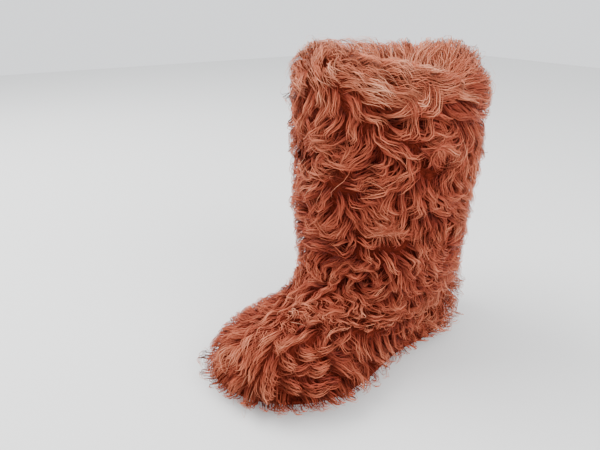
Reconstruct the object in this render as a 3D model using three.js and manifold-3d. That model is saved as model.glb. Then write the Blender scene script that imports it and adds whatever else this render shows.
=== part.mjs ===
// A left fur boot: a long-haired sheepskin upper on a flat rubber sole.
// Millimetres, +Z up, the toe points along -Y and the outer side of the foot is +X.
// The boot stands on z = 0, with the middle of its heel on the origin. The tables below count Y
// from the middle of the foot, and the whole group is then moved back to the heel.
import * as THREE from "three";
import { mergeVertices } from "three/addons/utils/BufferGeometryUtils.js";
import Module from "manifold-3d";

const wasm = await Module();
wasm.setup();

// Driving dimensions of the sole
const TOE_Y = -150;
const HEEL_Y = 118;
const SOLE_TOP_AT_TOE = 15;
const SOLE_TOP_AT_HEEL = 22;
const LUG_DEPTH = 4;
const TOE_SPRING = 4;
const SPRING_STARTS_Y = -95;
const LUG_INSET = 6;
const HEEL_REST_Y = 76;
const SOLE_SIDES = 40;
const BAR_LENGTH = 8.5;
const BAR_PITCH = 14;
const BAR_ANGLE = 0.22;
const BAR_REACH = 60;
const FOREFOOT_BARS = { from: -136, count: 7 };
const HEEL_BARS = { from: 44, count: 5 };

// Driving dimensions of the upper
const UPPER_INSET = 3;
const WALL = 3;
const GAP = 0.3;
const FUR_GAP = 0.5;
const INSOLE_THICKNESS = 5;
const INSOLE_CLEARANCE = 2;

// Driving dimensions of the fur
const SIDES = 28;
const SKIRT_LOW = 4.5;
const SKIRT_CLEARANCE = 2.5;
const HEM_SHARE = 0.96;
const TIP_LOW = 1.8;
const ANKLE_ROW = 6.4;
const COLLAR_ROW = 10.45;
const GOLDEN_ANGLE = Math.PI * (3 - Math.sqrt(5));
const HANG_PER_ROW = 12;
const RISE_PER_ROW = 80;

// A panel of fur runs on inside the next one by TUCK rows, and there it is TUCK_DEPTH thinner.
const UNDER = -1;
const TUCK = 0.3;
const TUCK_DEPTH = 6;
const ROLL_PROUD = 2;
const ROWS_PER_MM = 0.012;

// A lock's path, in steps along it, and its section
const CURL = 0.5;
const LOCK_STEP = 1 / 3;
const LAST_STEP = 0.6;
const LEAST_DROP = 0.3;
const LOCK_THICKNESS = 0.5;
const LOCK_WIDEST = 0.35;
const LOCK_SWELL = 2.2;

// The sole's outline from toe (at 0) to heel (at 1). Each reach is the half width of the ellipse
// through that station on the inner or outer side, and lean is how far the centre line moves.
const OUTLINE = [
  { at: 0.0, inner: 52, outer: 48, lean: -8 },
  { at: 0.12, inner: 53, outer: 55, lean: -6 },
  { at: 0.25, inner: 49, outer: 55.5, lean: -2.5 },
  { at: 0.4, inner: 42, outer: 49, lean: 0 },
  { at: 0.55, inner: 33, outer: 41, lean: 1 },
  { at: 0.7, inner: 33, outer: 38.5, lean: 1 },
  { at: 0.85, inner: 42, outer: 44, lean: 0 },
  { at: 1.0, inner: 48, outer: 48, lean: 0 },
];

// The upper's outside, a row for each section from the sole to the collar. A section is cut by a
// plane through a point on the front line of the boot and a point on its back line. front and
// back are half widths, and round goes from 0, the sole's outline, to 1, an oval of those widths.
const SECTIONS = [
  { frontY: -147, frontZ: 15.4, backY: 115, backZ: 22.2, front: 50, back: 46, round: 0 },
  { frontY: -149, frontZ: 24, backY: 118, backZ: 34, front: 50, back: 46, round: 0 },
  { frontY: -146, frontZ: 35, backY: 120, backZ: 48, front: 46, back: 46, round: 0.35 },
  { frontY: -136, frontZ: 46, backY: 121, backZ: 61, front: 42, back: 46, round: 0.7 },
  { frontY: -114, frontZ: 56, backY: 120, backZ: 74, front: 38, back: 47, round: 0.9 },
  { frontY: -86, frontZ: 66, backY: 118, backZ: 87, front: 38, back: 50, round: 1 },
  { frontY: -58, frontZ: 79, backY: 116, backZ: 100, front: 43, back: 53, round: 1 },
  { frontY: -36, frontZ: 98, backY: 115, backZ: 114, front: 51, back: 57, round: 1 },
  { frontY: -27, frontZ: 124, backY: 114, backZ: 132, front: 59, back: 61, round: 1 },
  { frontY: -26, frontZ: 160, backY: 113, backZ: 160, front: 65, back: 65, round: 1 },
  { frontY: -29, frontZ: 238, backY: 112, backZ: 234, front: 69, back: 69, round: 1 },
  { frontY: -33, frontZ: 322, backY: 110, backZ: 314, front: 71, back: 71, round: 1 },
];

// Places round the boot, in degrees from the toe over the outer side, and a column for each in the
// tables of the fur
const PLACES = { toe: 0, ball: 50, waist: 115, heel: 170, inner: 270 };

// How far the solid part of the pile stands off the hide, by row of the sections
const PILE = [
  { row: 0, toe: 27, ball: 42, waist: 35, heel: 45, inner: 25 },
  { row: 1.5, toe: 24, ball: 38, waist: 35, heel: 45, inner: 22 },
  { row: 3, toe: 18, ball: 32, waist: 33, heel: 43, inner: 19 },
  { row: 4.5, toe: 15, ball: 28, waist: 31, heel: 38, inner: 18 },
  { row: 6, toe: 19, ball: 27, waist: 31, heel: 33, inner: 20 },
  { row: 7.5, toe: 27, ball: 28, waist: 31, heel: 31, inner: 26 },
  { row: 9, toe: 31, ball: 28, waist: 29, heel: 29, inner: 30 },
  { row: 11, toe: 28, ball: 27, waist: 25, heel: 30, inner: 31 },
];

// The pile's ground has soft swirls and tufts, and a crease where the leg's fur bunches over the
// instep. Each depth is a share of the pile's.
const SWIRL_DEPTH = 0.08;
const TUFT_DEPTH = 0.12;
const CREASE_DEPTH = 0.3;
const CREASE_ROWS = 0.45;

// The collar's roll of fur as it goes over the rim. out is from the hide, a minus is into the
// opening, and up is the part of the roll's height.
const ROLL = [
  { out: 25, up: 0.3 },
  { out: 16, up: 0.8 },
  { out: 4, up: 1 },
  { out: -6, up: 0.75 },
  { out: -9, up: 0.3 },
];
const ROLL_HEIGHT = { toe: 33, ball: 27, waist: 10, heel: 30, inner: 36 };
const ROLL_ROW = 10.75;
const ROLL_TUCK = 2;
const ROLL_TUCK_ROW = 10.9;

// The locks of each panel of fur. from and to are heights up the back of the boot, turn is the
// way that the locks lie, 0 straight down and a quarter turn level, and sway is how far they stray.
const LEG_LOCKS = {
  count: 46, from: 122, to: 286, turn: 0.6, sway: 0.7, length: 62, width: 13, lift: 7,
};
const FOOT_LOCKS = {
  count: 32, from: 32, to: 98, turn: 0, sway: 0.6, length: 46, width: 12, lift: 7,
};
const RIM_LOCKS = {
  count: 12, from: 296, to: 313, turn: 0.8, sway: 0.25, length: 50, width: 11, lift: 4,
};

const TOP_ROW = SECTIONS.length - 1;
const UPPER_ROWS = [0, 0.8, 1.6, 2.4, 3.1, 3.8, 4.6, 5.4, 6.2, 7, 7.8, 8.6, 9.6, TOP_ROW];

const lerp = THREE.MathUtils.lerp;
const smooth = (x, low, high) => THREE.MathUtils.smoothstep(x, low, high);

// A smooth value between the rows of a table, at a place given in rows.
function between(rows, place, column) {
  const last = rows.length - 1;
  const i = Math.min(Math.max(Math.floor(place), 0), last - 1);
  const t = place - i;
  const [a, b, c, d] = [i - 1, i, i + 1, i + 2].map(
    (k) => rows[Math.min(Math.max(k, 0), last)][column],
  );
  const curve = c - a + t * (2 * a - 5 * b + 4 * c - d + t * (3 * (b - c) + d - a));
  return b + 0.5 * t * curve;
}

// The outline's half width on one side (-1 inner, +1 outer) and its lean, at s from toe to heel.
function outlineAt(s, side) {
  let i = 0;
  while (i < OUTLINE.length - 2 && OUTLINE[i + 1].at < s) i += 1;
  const place = i + (s - OUTLINE[i].at) / (OUTLINE[i + 1].at - OUTLINE[i].at);
  const reach = between(OUTLINE, place, side < 0 ? "inner" : "outer");
  return { reach, lean: between(OUTLINE, place, "lean") };
}

// A point of the sole's outline, grown outwards by grow. The angle is 0 at the toe.
function solePoint(angle, grow, z) {
  const s = (1 - Math.cos(angle)) / 2;
  const { reach, lean } = outlineAt(s, Math.sin(angle));
  const y = lerp(TOE_Y - grow, HEEL_Y + grow, s);
  return new THREE.Vector3(lean + Math.sin(angle) * (reach + grow), y, z(y));
}

// A point of the upper's outside. The row may lie between two sections.
function hidePoint(angle, row) {
  const place = Math.min(Math.max(row, 0), TOP_ROW);
  const cut = (column) => between(SECTIONS, place, column);
  const s = (1 - Math.cos(angle)) / 2;
  const { reach, lean } = outlineAt(s, Math.sin(angle));
  const oval = lerp(cut("front"), cut("back"), s);
  const half = lerp(reach - UPPER_INSET, oval, cut("round"));
  return new THREE.Vector3(
    lean * (1 - cut("round")) + Math.sin(angle) * half,
    lerp(cut("frontY"), cut("backY"), s),
    lerp(cut("frontZ"), cut("backZ"), s),
  );
}

// The outward normal of the upper at that place.
function hideNormal(angle, row) {
  const step = 0.02;
  const low = Math.max(row - step, 0);
  const high = Math.min(Math.max(row, 0) + step, TOP_ROW);
  const round = hidePoint(angle + step, row).sub(hidePoint(angle - step, row));
  const up = hidePoint(angle, high).sub(hidePoint(angle, Math.min(low, high - step)));
  return round.cross(up).normalize();
}

// A point off the upper: out along its normal, then raised.
function offHide(angle, row, out, rise = 0) {
  const point = hidePoint(angle, row).addScaledVector(hideNormal(angle, row), out);
  point.z += rise;
  return point;
}

// A surface over rings of equally many points, each joined to the next. An open stack gets caps
// that run straight across from one side of the ring to the other.
function stack(rings, closedLoop) {
  const n = rings[0].length;
  const index = [];
  const joins = closedLoop ? rings.length : rings.length - 1;
  for (let r = 0; r < joins; r += 1) {
    const a = r * n;
    const b = ((r + 1) % rings.length) * n;
    for (let i = 0; i < n; i += 1) {
      const j = (i + 1) % n;
      index.push(a + i, a + j, b + j, a + i, b + j, b + i);
    }
  }
  if (!closedLoop) {
    const last = (rings.length - 1) * n;
    for (let i = 0; i < n / 2; i += 1) {
      const [p, q, r, s] = [i, i + 1, (n - i - 1) % n, (n - i) % n];
      if (q !== r) index.push(p, r, q);
      if (p !== s) index.push(p, s, r);
      if (q !== r) index.push(last + p, last + q, last + r);
      if (p !== s) index.push(last + p, last + r, last + s);
    }
  }
  const geometry = new THREE.BufferGeometry();
  geometry.setFromPoints(rings.flat());
  geometry.setIndex(index);
  return geometry;
}

// A closed surface as a solid body that can be joined and cut, and back
function solid(geometry) {
  const bare = geometry.clone();
  bare.deleteAttribute("normal");
  bare.deleteAttribute("uv");
  const merged = mergeVertices(bare, 1e-4);
  const made = new wasm.Manifold(
    new wasm.Mesh({
      numProp: 3,
      vertProperties: new Float32Array(merged.attributes.position.array),
      triVerts: new Uint32Array(merged.index.array),
    }),
  );
  if (made.volume() < 0) throw new Error("a stack of rings is inside out");
  return made;
}

function geometryOf(made) {
  const mesh = made.getMesh();
  const geometry = new THREE.BufferGeometry();
  geometry.setAttribute("position", new THREE.BufferAttribute(mesh.vertProperties, 3));
  geometry.setIndex(new THREE.BufferAttribute(mesh.triVerts, 1));
  geometry.computeVertexNormals();
  return geometry;
}

// The biggest body of a solid, once a cut has left crumbs.
function largest(made) {
  return made.decompose().reduce((a, b) => (a.volume() > b.volume() ? a : b));
}

const angles = (n) => Array.from({ length: n }, (_, i) => (i / n) * Math.PI * 2);

// Heights of the sole: its sloped top, and its underside, which rises at the toe
const slope = (SOLE_TOP_AT_HEEL - SOLE_TOP_AT_TOE) / (HEEL_Y - TOE_Y);
const soleTop = (y) => SOLE_TOP_AT_TOE + (y - TOE_Y) * slope;
const springAt = (y) => TOE_SPRING * smooth(SPRING_STARTS_Y - y, 0, SPRING_STARTS_Y - TOE_Y);

// The rubber outsole: a body with a stepped side, and bars across heel and forefoot.
function outsole() {
  const side = [
    { up: 0, grow: -2 },
    { up: 0.12, grow: 0.5 },
    { up: 0.42, grow: 0.5 },
    { up: 0.46, grow: -0.9 },
    { up: 0.54, grow: -0.9 },
    { up: 0.58, grow: 0.8 },
    { up: 0.94, grow: 0.8 },
    { up: 1, grow: 0.2 },
  ];
  const under = (y) => LUG_DEPTH + springAt(y);
  const rings = side.map(({ up, grow }) =>
    angles(SOLE_SIDES).map((a) => solePoint(a, grow, (y) => lerp(under(y), soleTop(y), up))),
  );
  let body = solid(stack(rings, false));
  const lugSpace = solid(
    stack(
      [springAt, (y) => springAt(y) + LUG_DEPTH + 1].map((z) =>
        angles(SOLE_SIDES).map((a) => solePoint(a, -LUG_INSET, z)),
      ),
      false,
    ),
  );
  for (const { from, count } of [FOREFOOT_BARS, HEEL_BARS]) {
    for (let i = 0; i < count; i += 1) {
      body = body.add(chevron(from + i * BAR_PITCH).intersect(lugSpace));
    }
  }
  return geometryOf(body);
}

// A bar across the sole, bent in the middle so that it points to the toe.
function chevron(y) {
  const reach = BAR_REACH;
  const bend = reach * BAR_ANGLE;
  const bar = new THREE.Shape([
    new THREE.Vector2(-reach, y + bend),
    new THREE.Vector2(0, y),
    new THREE.Vector2(reach, y + bend),
    new THREE.Vector2(reach, y + bend + BAR_LENGTH),
    new THREE.Vector2(0, y + BAR_LENGTH),
    new THREE.Vector2(-reach, y + bend + BAR_LENGTH),
  ]);
  const depth = LUG_DEPTH + TOE_SPRING + 2;
  return solid(new THREE.ExtrudeGeometry(bar, { depth, bevelEnabled: false }));
}

// The footbed that lies on the sole inside the upper
function insole() {
  const inset = -(UPPER_INSET + WALL + INSOLE_CLEARANCE);
  const rings = [GAP, INSOLE_THICKNESS].map((up) =>
    angles(SIDES).map((a) => solePoint(a, inset, (y) => soleTop(y) + up)),
  );
  return stack(rings, false);
}

// The hollow hide upper: its outside, then its inside at the wall's thickness
function upper() {
  const inside = [...UPPER_ROWS].reverse();
  const rings = [
    ...UPPER_ROWS.map((row) => angles(SIDES).map((a) => offHide(a, row, 0))),
    ...inside.map((row) => angles(SIDES).map((a) => level(offHide(a, row, -WALL), row))),
  ];
  return stack(rings, true);
}

// Keeps the inner edge of the upper on the sole and level with the rim at the collar.
function level(point, row) {
  if (row === 0) point.z = soleTop(point.y) + GAP;
  if (row === TOP_ROW) {
    const { frontY, frontZ, backY, backZ } = SECTIONS[TOP_ROW];
    point.z = lerp(frontZ, backZ, (point.y - frontY) / (backY - frontY));
  }
  return point;
}

// A value of a table's row, blended smoothly from place to place round the boot.
function roundBoot(columns, angle) {
  const names = Object.keys(PLACES);
  const turn = THREE.MathUtils.euclideanModulo(THREE.MathUtils.radToDeg(angle), 360);
  const i = names.filter((name) => PLACES[name] <= turn).length - 1;
  const next = names[(i + 1) % names.length];
  const end = PLACES[next] || 360;
  return lerp(columns[names[i]], columns[next], smooth(turn, PLACES[names[i]], end));
}

// How far the pile's ground stands out: the table's depth in soft clumps with troughs between
// them, and a deep crease where the leg's fur bunches over the instep.
function pileAt(angle, row) {
  let i = 0;
  while (i < PILE.length - 2 && PILE[i + 1].row < row) i += 1;
  const [low, high] = [PILE[i], PILE[i + 1]];
  const part = THREE.MathUtils.clamp((row - low.row) / (high.row - low.row), 0, 1);
  const depth = lerp(roundBoot(low, angle), roundBoot(high, angle), part);
  const swirls = Math.sin(3 * angle + 1.7 * row) * Math.cos(2 * angle - 1.1 * row + 0.6);
  const tufts = Math.sin(9 * angle + 4.1 * row) * Math.cos(5 * angle - 5.3 * row);
  const crease = Math.exp(-(((row - ANKLE_ROW) / CREASE_ROWS) ** 2)) * (1 + Math.cos(angle)) * 0.5;
  return depth * (1 + SWIRL_DEPTH * swirls + TUFT_DEPTH * tufts - CREASE_DEPTH * crease);
}

// A point of the fur at a height off the hide. Below row 0 it hangs beside the sole, clear of the
// floor, and above the top row it stands over the rim.
function furPoint(angle, row, out) {
  const beyond = Math.min(row, 0) * HANG_PER_ROW + Math.max(row - TOP_ROW, 0) * RISE_PER_ROW;
  return clearFloor(offHide(angle, row, out, beyond));
}

function clearFloor(point) {
  point.z = Math.max(point.z, TIP_LOW);
  return point;
}

// One lock of hair: a flat tapered horn that follows the hide from its root and lifts at its tip.
// turn is the way that it lies, 0 straight down and a quarter turn level round the boot.
function lock({ angle, row, turn, length, width, lift, grow }) {
  const rise = hidePoint(angle, row - 0.1).distanceTo(hidePoint(angle, row + 0.1)) / 0.2;
  const girth = hidePoint(angle - 0.05, row).distanceTo(hidePoint(angle + 0.05, row)) / 0.1;
  const drop = hidePoint(angle, row).z - TIP_LOW;
  const reach = Math.min(length, drop / Math.max(Math.cos(turn), LEAST_DROP));
  const rings = [];
  const at = { angle, row, way: turn };
  for (let t = 0; t < 1; t += LOCK_STEP) {
    const out = pileAt(at.angle, at.row) * lerp(0.5, 1, Math.min(1, t * 2)) + lift * t;
    const part = 1 - LOCK_SWELL * (t - LOCK_WIDEST) ** 2;
    rings.push(lockRing(at, out, width * part + grow, LOCK_THICKNESS * width * part + grow));
    const ahead = reach * LOCK_STEP + (t > LAST_STEP ? 3 * grow : 0);
    at.angle += (Math.sin(at.way) * ahead) / girth;
    at.row -= (Math.cos(at.way) * ahead) / rise;
    at.way = turn + CURL * Math.sin(3 * (t + LOCK_STEP) + angle * 5);
  }
  const tip = furPoint(at.angle, at.row, pileAt(at.angle, at.row) + lift + grow);
  rings.push([tip, tip, tip, tip]);
  return solid(horn(rings));
}

// A lock's section: a diamond that is wide along the hide and thin across it.
function lockRing({ angle, row, way }, out, width, thick) {
  const centre = furPoint(angle, row, out);
  const normal = hideNormal(angle, row);
  const along = furPoint(angle + 0.05 * Math.sin(way), row - 0.1 * Math.cos(way), out)
    .sub(centre)
    .normalize();
  const side = new THREE.Vector3().crossVectors(normal, along).normalize();
  const corner = (s, n) =>
    clearFloor(centre.clone().addScaledVector(side, s).addScaledVector(normal, n));
  return [corner(width, 0), corner(0, thick), corner(-width, 0), corner(0, -thick)];
}

// Rings of four points that end in a single point, with a flat root
function horn(rings) {
  const index = [0, 2, 1, 0, 3, 2];
  for (let r = 0; r < rings.length - 1; r += 1) {
    const last = r === rings.length - 2;
    for (let i = 0; i < 4; i += 1) {
      const j = (i + 1) % 4;
      const [a, b] = [r * 4, (r + 1) * 4];
      index.push(a + i, a + j, b + j);
      if (!last) index.push(a + i, b + j, b + i);
    }
  }
  const geometry = new THREE.BufferGeometry();
  geometry.setFromPoints(rings.flat());
  geometry.setIndex(index);
  return geometry;
}

// The row at a height up the back of the boot
function rowAtBack(height) {
  let row = 0;
  while (row < TOP_ROW && between(SECTIONS, row, "backZ") < height) row += 0.05;
  return row;
}

// A panel of fur: its ground, and locks spread evenly over it by the golden angle. from and to
// are heights up the back.
function furPanel(ground, { count, from, to, turn, sway, length, width, lift }, grow) {
  let panel = solid(ground);
  for (let i = 0; i < count; i += 1) {
    const angle = (i * GOLDEN_ANGLE) % (Math.PI * 2);
    const row = rowAtBack(lerp(from, to, (i + 0.5) / count));
    const wave = Math.sin(i * 2.3);
    const made = lock({
      angle,
      row,
      turn: turn + sway * (Math.sin(2 * angle + row) + 0.6 * wave),
      length: length * (1 + 0.18 * wave),
      width: width * (1 - 0.15 * wave),
      lift: lift * (1 + 0.3 * Math.cos(i * 1.9)),
      grow,
    });
    panel = panel.add(made);
  }
  return panel;
}

// A closed ring of fur from loops, each of which gives a point for an angle
const furRing = (loops) => stack(loops.map((loop) => angles(SIDES).map(loop)), true);
const pileLoop = (row, grow) => (a) => offHide(a, row, pileAt(a, row) + grow);
const hideLoop = (row, out) => (a) => offHide(a, row, out);

// The leg's fur, from the ankle crease to the collar
function shaftGround(grow) {
  const low = ANKLE_ROW - grow * ROWS_PER_MM * 4;
  const outer = [low, 7.1, 7.9, 8.6, 9.2, 9.7, 10.1, COLLAR_ROW];
  const inner = [COLLAR_ROW + TUCK, 9.4, 8.4, 7.4, low];
  return furRing([
    ...outer.map((row) => pileLoop(row, grow)),
    pileLoop(COLLAR_ROW + TUCK, -TUCK_DEPTH),
    ...inner.map((row) => hideLoop(row, UNDER)),
  ]);
}

// The foot's fur, from its hem beside the sole to the ankle crease
function footGround() {
  const outer = [0.7, 1.5, 2.3, 3.1, 3.9, 4.7, 5.6, ANKLE_ROW - 0.1];
  const inner = [ANKLE_ROW + TUCK, 5.2, 4.1, 3, 2, 1];
  const hem = (out) => (a) => {
    const point = offHide(a, 0, out);
    point.z = SKIRT_LOW;
    return point;
  };
  return furRing([
    (a) => hem(pileAt(a, 0) * HEM_SHARE)(a),
    ...outer.map((row) => pileLoop(row, 0)),
    pileLoop(ANKLE_ROW + TUCK, -TUCK_DEPTH),
    ...inner.map((row) => hideLoop(row, UNDER)),
    hem(UNDER),
  ]);
}

// The collar's roll of fur, which lies over the rim and leans a little into the opening
function collarGround(grow) {
  const low = COLLAR_ROW - grow * ROWS_PER_MM;
  const over = ({ out, up }) => (a) =>
    offHide(a, TOP_ROW, out + grow, up * roundBoot(ROLL_HEIGHT, a));
  return furRing([
    pileLoop(low, ROLL_PROUD + grow),
    pileLoop(ROLL_ROW, ROLL_PROUD + grow),
    ...ROLL.map(over),
    hideLoop(TOP_ROW, -WALL - ROLL_TUCK),
    hideLoop(ROLL_TUCK_ROW, UNDER),
    hideLoop(low, UNDER),
  ]);
}

// The room that fur leaves for the hide and for the sole beside its hem
function roomForFoot() {
  const hide = stack(
    UPPER_ROWS.map((row) =>
      angles(SIDES).map((a) => {
        const point = offHide(a, row, GAP);
        if (row === 0) point.z -= SKIRT_CLEARANCE;
        if (row === TOP_ROW) point.z += GAP;
        return point;
      }),
    ),
    false,
  );
  const sole = stack(
    [() => -GAP, (y) => soleTop(y) + GAP].map((z) =>
      angles(SIDES).map((a) => solePoint(a, SKIRT_CLEARANCE, z)),
    ),
    false,
  );
  return solid(hide).add(solid(sole));
}

const room = roomForFoot();
const collarFur = largest(furPanel(collarGround(0), RIM_LOCKS, 0).subtract(room));
const shaftFur = largest(
  furPanel(shaftGround(0), LEG_LOCKS, 0)
    .subtract(furPanel(collarGround(FUR_GAP), RIM_LOCKS, FUR_GAP))
    .subtract(room),
);
const footFur = largest(
  furPanel(footGround(), FOOT_LOCKS, 0)
    .subtract(furPanel(shaftGround(FUR_GAP), LEG_LOCKS, FUR_GAP))
    .subtract(room),
);

// The pieces, each with its own finish
const rubber = { color: 0x1d1a1b, roughness: 0.75, metalness: 0 };
const hide = { color: 0x7a4432, roughness: 0.9, metalness: 0 };
const felt = { color: 0x9a6a55, roughness: 1, metalness: 0 };
const fur = { color: 0x9c4f38, roughness: 0.85, metalness: 0 };
const pieces = [
  ["outsole", outsole(), rubber],
  ["insole", insole(), felt],
  ["upper", upper(), hide],
  ["fur_foot", geometryOf(footFur), fur],
  ["fur_shaft", geometryOf(shaftFur), fur],
  ["fur_collar", geometryOf(collarFur), fur],
];

const boot = new THREE.Group();
for (const [name, geometry, finish] of pieces) {
  const mesh = new THREE.Mesh(geometry, new THREE.MeshStandardMaterial(finish));
  mesh.name = name;
  boot.add(mesh);
}

// The middle bar of the heel stands on the origin.
boot.position.y = -HEEL_REST_Y;

export default boot;
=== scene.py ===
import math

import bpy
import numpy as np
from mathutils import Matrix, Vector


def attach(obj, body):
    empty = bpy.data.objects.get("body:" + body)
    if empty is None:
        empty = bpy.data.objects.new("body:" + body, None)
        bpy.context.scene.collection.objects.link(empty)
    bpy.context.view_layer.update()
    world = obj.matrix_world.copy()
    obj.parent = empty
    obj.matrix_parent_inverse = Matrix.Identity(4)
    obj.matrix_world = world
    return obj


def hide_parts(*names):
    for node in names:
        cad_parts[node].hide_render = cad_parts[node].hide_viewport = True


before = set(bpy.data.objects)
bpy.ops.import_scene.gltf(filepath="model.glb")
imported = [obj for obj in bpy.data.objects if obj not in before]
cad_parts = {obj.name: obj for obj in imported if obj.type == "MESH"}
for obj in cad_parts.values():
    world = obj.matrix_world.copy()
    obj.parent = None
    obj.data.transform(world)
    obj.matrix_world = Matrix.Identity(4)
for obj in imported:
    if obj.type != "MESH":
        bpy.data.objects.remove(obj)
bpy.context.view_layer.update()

# A left fur boot: long curly cinnamon-brown hair over a sheepskin upper, on a flat rubber sole.
# Lengths are in millimetres unless a comment says metres, and Y counts from the middle of the foot,
# as in the boot's own tables. Every mesh is made in the frame's metres. The tables have angles in
# degrees, 0 at the toe and growing to the outer side, and rows that count up the boot from the sole.

MM = 0.001
TINY = 1e-6
HEEL_REST_Y = 76.0

# The upper: its wall, and how far it stands in from the sole's edge
UPPER_INSET = 3.0
WALL = 3.0

# The sole's outline from toe (at 0) to heel (at 1): half widths and the lean of its centre line
OUTLINE = {
    "at": [0.0, 0.12, 0.25, 0.4, 0.55, 0.7, 0.85, 1.0],
    "inner": [52, 53, 49, 42, 33, 33, 42, 48],
    "outer": [48, 55, 55.5, 49, 41, 38.5, 44, 48],
    "lean": [-8, -6, -2.5, 0, 1, 1, 0, 0],
}

# The upper's outside, with an entry for each row from the sole to the collar
SECTIONS = {
    "front_y": [-147, -149, -146, -136, -114, -86, -58, -36, -27, -26, -29, -33],
    "front_z": [15.4, 24, 35, 46, 56, 66, 79, 98, 124, 160, 238, 322],
    "back_y": [115, 118, 120, 121, 120, 118, 116, 115, 114, 113, 112, 110],
    "back_z": [22.2, 34, 48, 61, 74, 87, 100, 114, 132, 160, 234, 314],
    "front": [50, 50, 46, 42, 38, 38, 43, 51, 59, 65, 69, 71],
    "back": [46, 46, 46, 46, 47, 50, 53, 57, 61, 65, 69, 71],
    "round": [0, 0, 0.35, 0.7, 0.9, 1, 1, 1, 1, 1, 1, 1],
}
TOP_ROW = 11.0

# The coat is the surface that the hair stands on. Its flat coordinates are the angle round the
# boot and the height up the outer flank. Below 0 it hangs as a skirt beside the sole, in rows -1 to
# 0. Past the top it goes over the rim, in rows 11 to 12, and down inside, in rows 12 to 13.
SKIRT_LENGTH = 15.0
SKIRT_FLARE = 5.0
SKIRT_LOW = 1.2
RIM_LENGTH = 32.0
RIM_RISE = 1.5
INSIDE_LENGTH = 26.0
TOP_ROW_LENGTH = 84.0
FLANK_STATIONS = 600

# The coat's grid: steps round it, the steps by which it overlaps itself at the heel so that locks
# cross there, the step up it, and how often its normals are evened out up and down
AROUND = 96
OVERLAP = 14
UP_STEP = 4.0
NORMAL_PASSES = 6

# How far the hair's mass stands off the hide, by row and by place round the boot. Row 11.5 is the
# top of the rim.
PILE_ANGLES = {"toe": 0, "ball": 50, "waist": 115, "heel": 170, "inner": 270}
PILE = {
    "row": [-1, 0, 1.5, 3, 4.5, 6, 7.5, 9, 11, 11.5, 12, 13],
    "toe": [46, 43, 36, 26, 21, 25, 33, 37, 35, 44, 32, 12],
    "ball": [73, 67, 56, 45, 37, 33, 34, 34, 33, 34, 24, 10],
    "waist": [46, 45, 44, 40, 37, 36, 36, 34, 30, 22, 16, 10],
    "heel": [60, 59, 58, 56, 51, 44, 39, 37, 43, 51, 38, 10],
    "inner": [36, 33, 29, 24, 23, 26, 32, 36, 38, 43, 36, 12],
}

# Where the coat's grid and the undercoat lie, as shares of the depth of the hair's mass
SURFACE_SHARE = 0.85
UNDERCOAT_SHARE = 0.68
UNDERCOAT_FOOT = 0.02

# The fleece lining: its rows and rings, its gap to the upper and its thickness
LINING_ROWS = (1.5, 10.8)
LINING_RINGS = 48
LINING_GAP = 0.3
LINING_THICK = 2.5

# Hollows and swells of the coat: the angle and the height up of each, its reach
# round and up, its slant, and how far it stands out or, with a minus, lies in
RELIEF = [
    # The fold under the combed rim, the swell beneath it, and the shade under that
    {"angle": 60, "up": 328, "round": 18, "high": 5, "slant": -0.1, "out": -9},
    {"angle": 84, "up": 320, "round": 17, "high": 8, "slant": -0.1, "out": -12},
    {"angle": 106, "up": 328, "round": 18, "high": 6, "slant": 0.35, "out": -13},
    {"angle": 52, "up": 320, "round": 20, "high": 6, "slant": -0.1, "out": 7},
    {"angle": 56, "up": 310, "round": 20, "high": 5, "slant": -0.1, "out": -14},
    {"angle": 60, "up": 296, "round": 22, "high": 8, "slant": 0.0, "out": 5},
    # The leg
    {"angle": 41, "up": 264, "round": 5, "high": 17, "slant": 0.0, "out": -12},
    {"angle": 22, "up": 280, "round": 7, "high": 6, "slant": 0.3, "out": -12},
    {"angle": 52, "up": 192, "round": 8, "high": 6, "slant": 0.0, "out": -12},
    {"angle": 83, "up": 215, "round": 6, "high": 8, "slant": -0.4, "out": -10},
    {"angle": 26, "up": 175, "round": 9, "high": 6, "slant": 0.2, "out": -12},
    {"angle": 19, "up": 250, "round": 16, "high": 14, "slant": 0.0, "out": 5},
    {"angle": 70, "up": 240, "round": 14, "high": 24, "slant": 0.0, "out": 3},
    {"angle": 100, "up": 190, "round": 7, "high": 26, "slant": -0.3, "out": -7},
    # The creases of the ankle
    {"angle": 40, "up": 152, "round": 30, "high": 5, "slant": -0.15, "out": -8},
    {"angle": 36, "up": 130, "round": 34, "high": 5, "slant": -0.1, "out": -9},
    {"angle": 74, "up": 118, "round": 22, "high": 6, "slant": -0.35, "out": -8},
    {"angle": 8, "up": 112, "round": 24, "high": 6, "slant": 0.1, "out": -8},
    # The foot
    {"angle": 22, "up": 68, "round": 20, "high": 7, "slant": 0.1, "out": 5},
    {"angle": 40, "up": 56, "round": 14, "high": 5, "slant": -0.3, "out": -9},
    {"angle": 62, "up": 34, "round": 6, "high": 10, "slant": 0.0, "out": -9},
    {"angle": 84, "up": 40, "round": 12, "high": 12, "slant": 0.0, "out": 4},
    {"angle": 100, "up": 62, "round": 22, "high": 7, "slant": -0.3, "out": -9},
    {"angle": 118, "up": 24, "round": 6, "high": 12, "slant": 0.0, "out": -8},
    {"angle": 140, "up": 48, "round": 8, "high": 22, "slant": 0.3, "out": -6},
    # The back and the inner side
    {"angle": 178, "up": 110, "round": 26, "high": 8, "slant": 0.0, "out": -6},
    {"angle": -60, "up": 128, "round": 26, "high": 8, "slant": 0.1, "out": -7},
    {"angle": -110, "up": 240, "round": 8, "high": 20, "slant": 0.2, "out": -8},
    {"angle": -140, "up": 180, "round": 10, "high": 16, "slant": -0.3, "out": -8},
]

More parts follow.
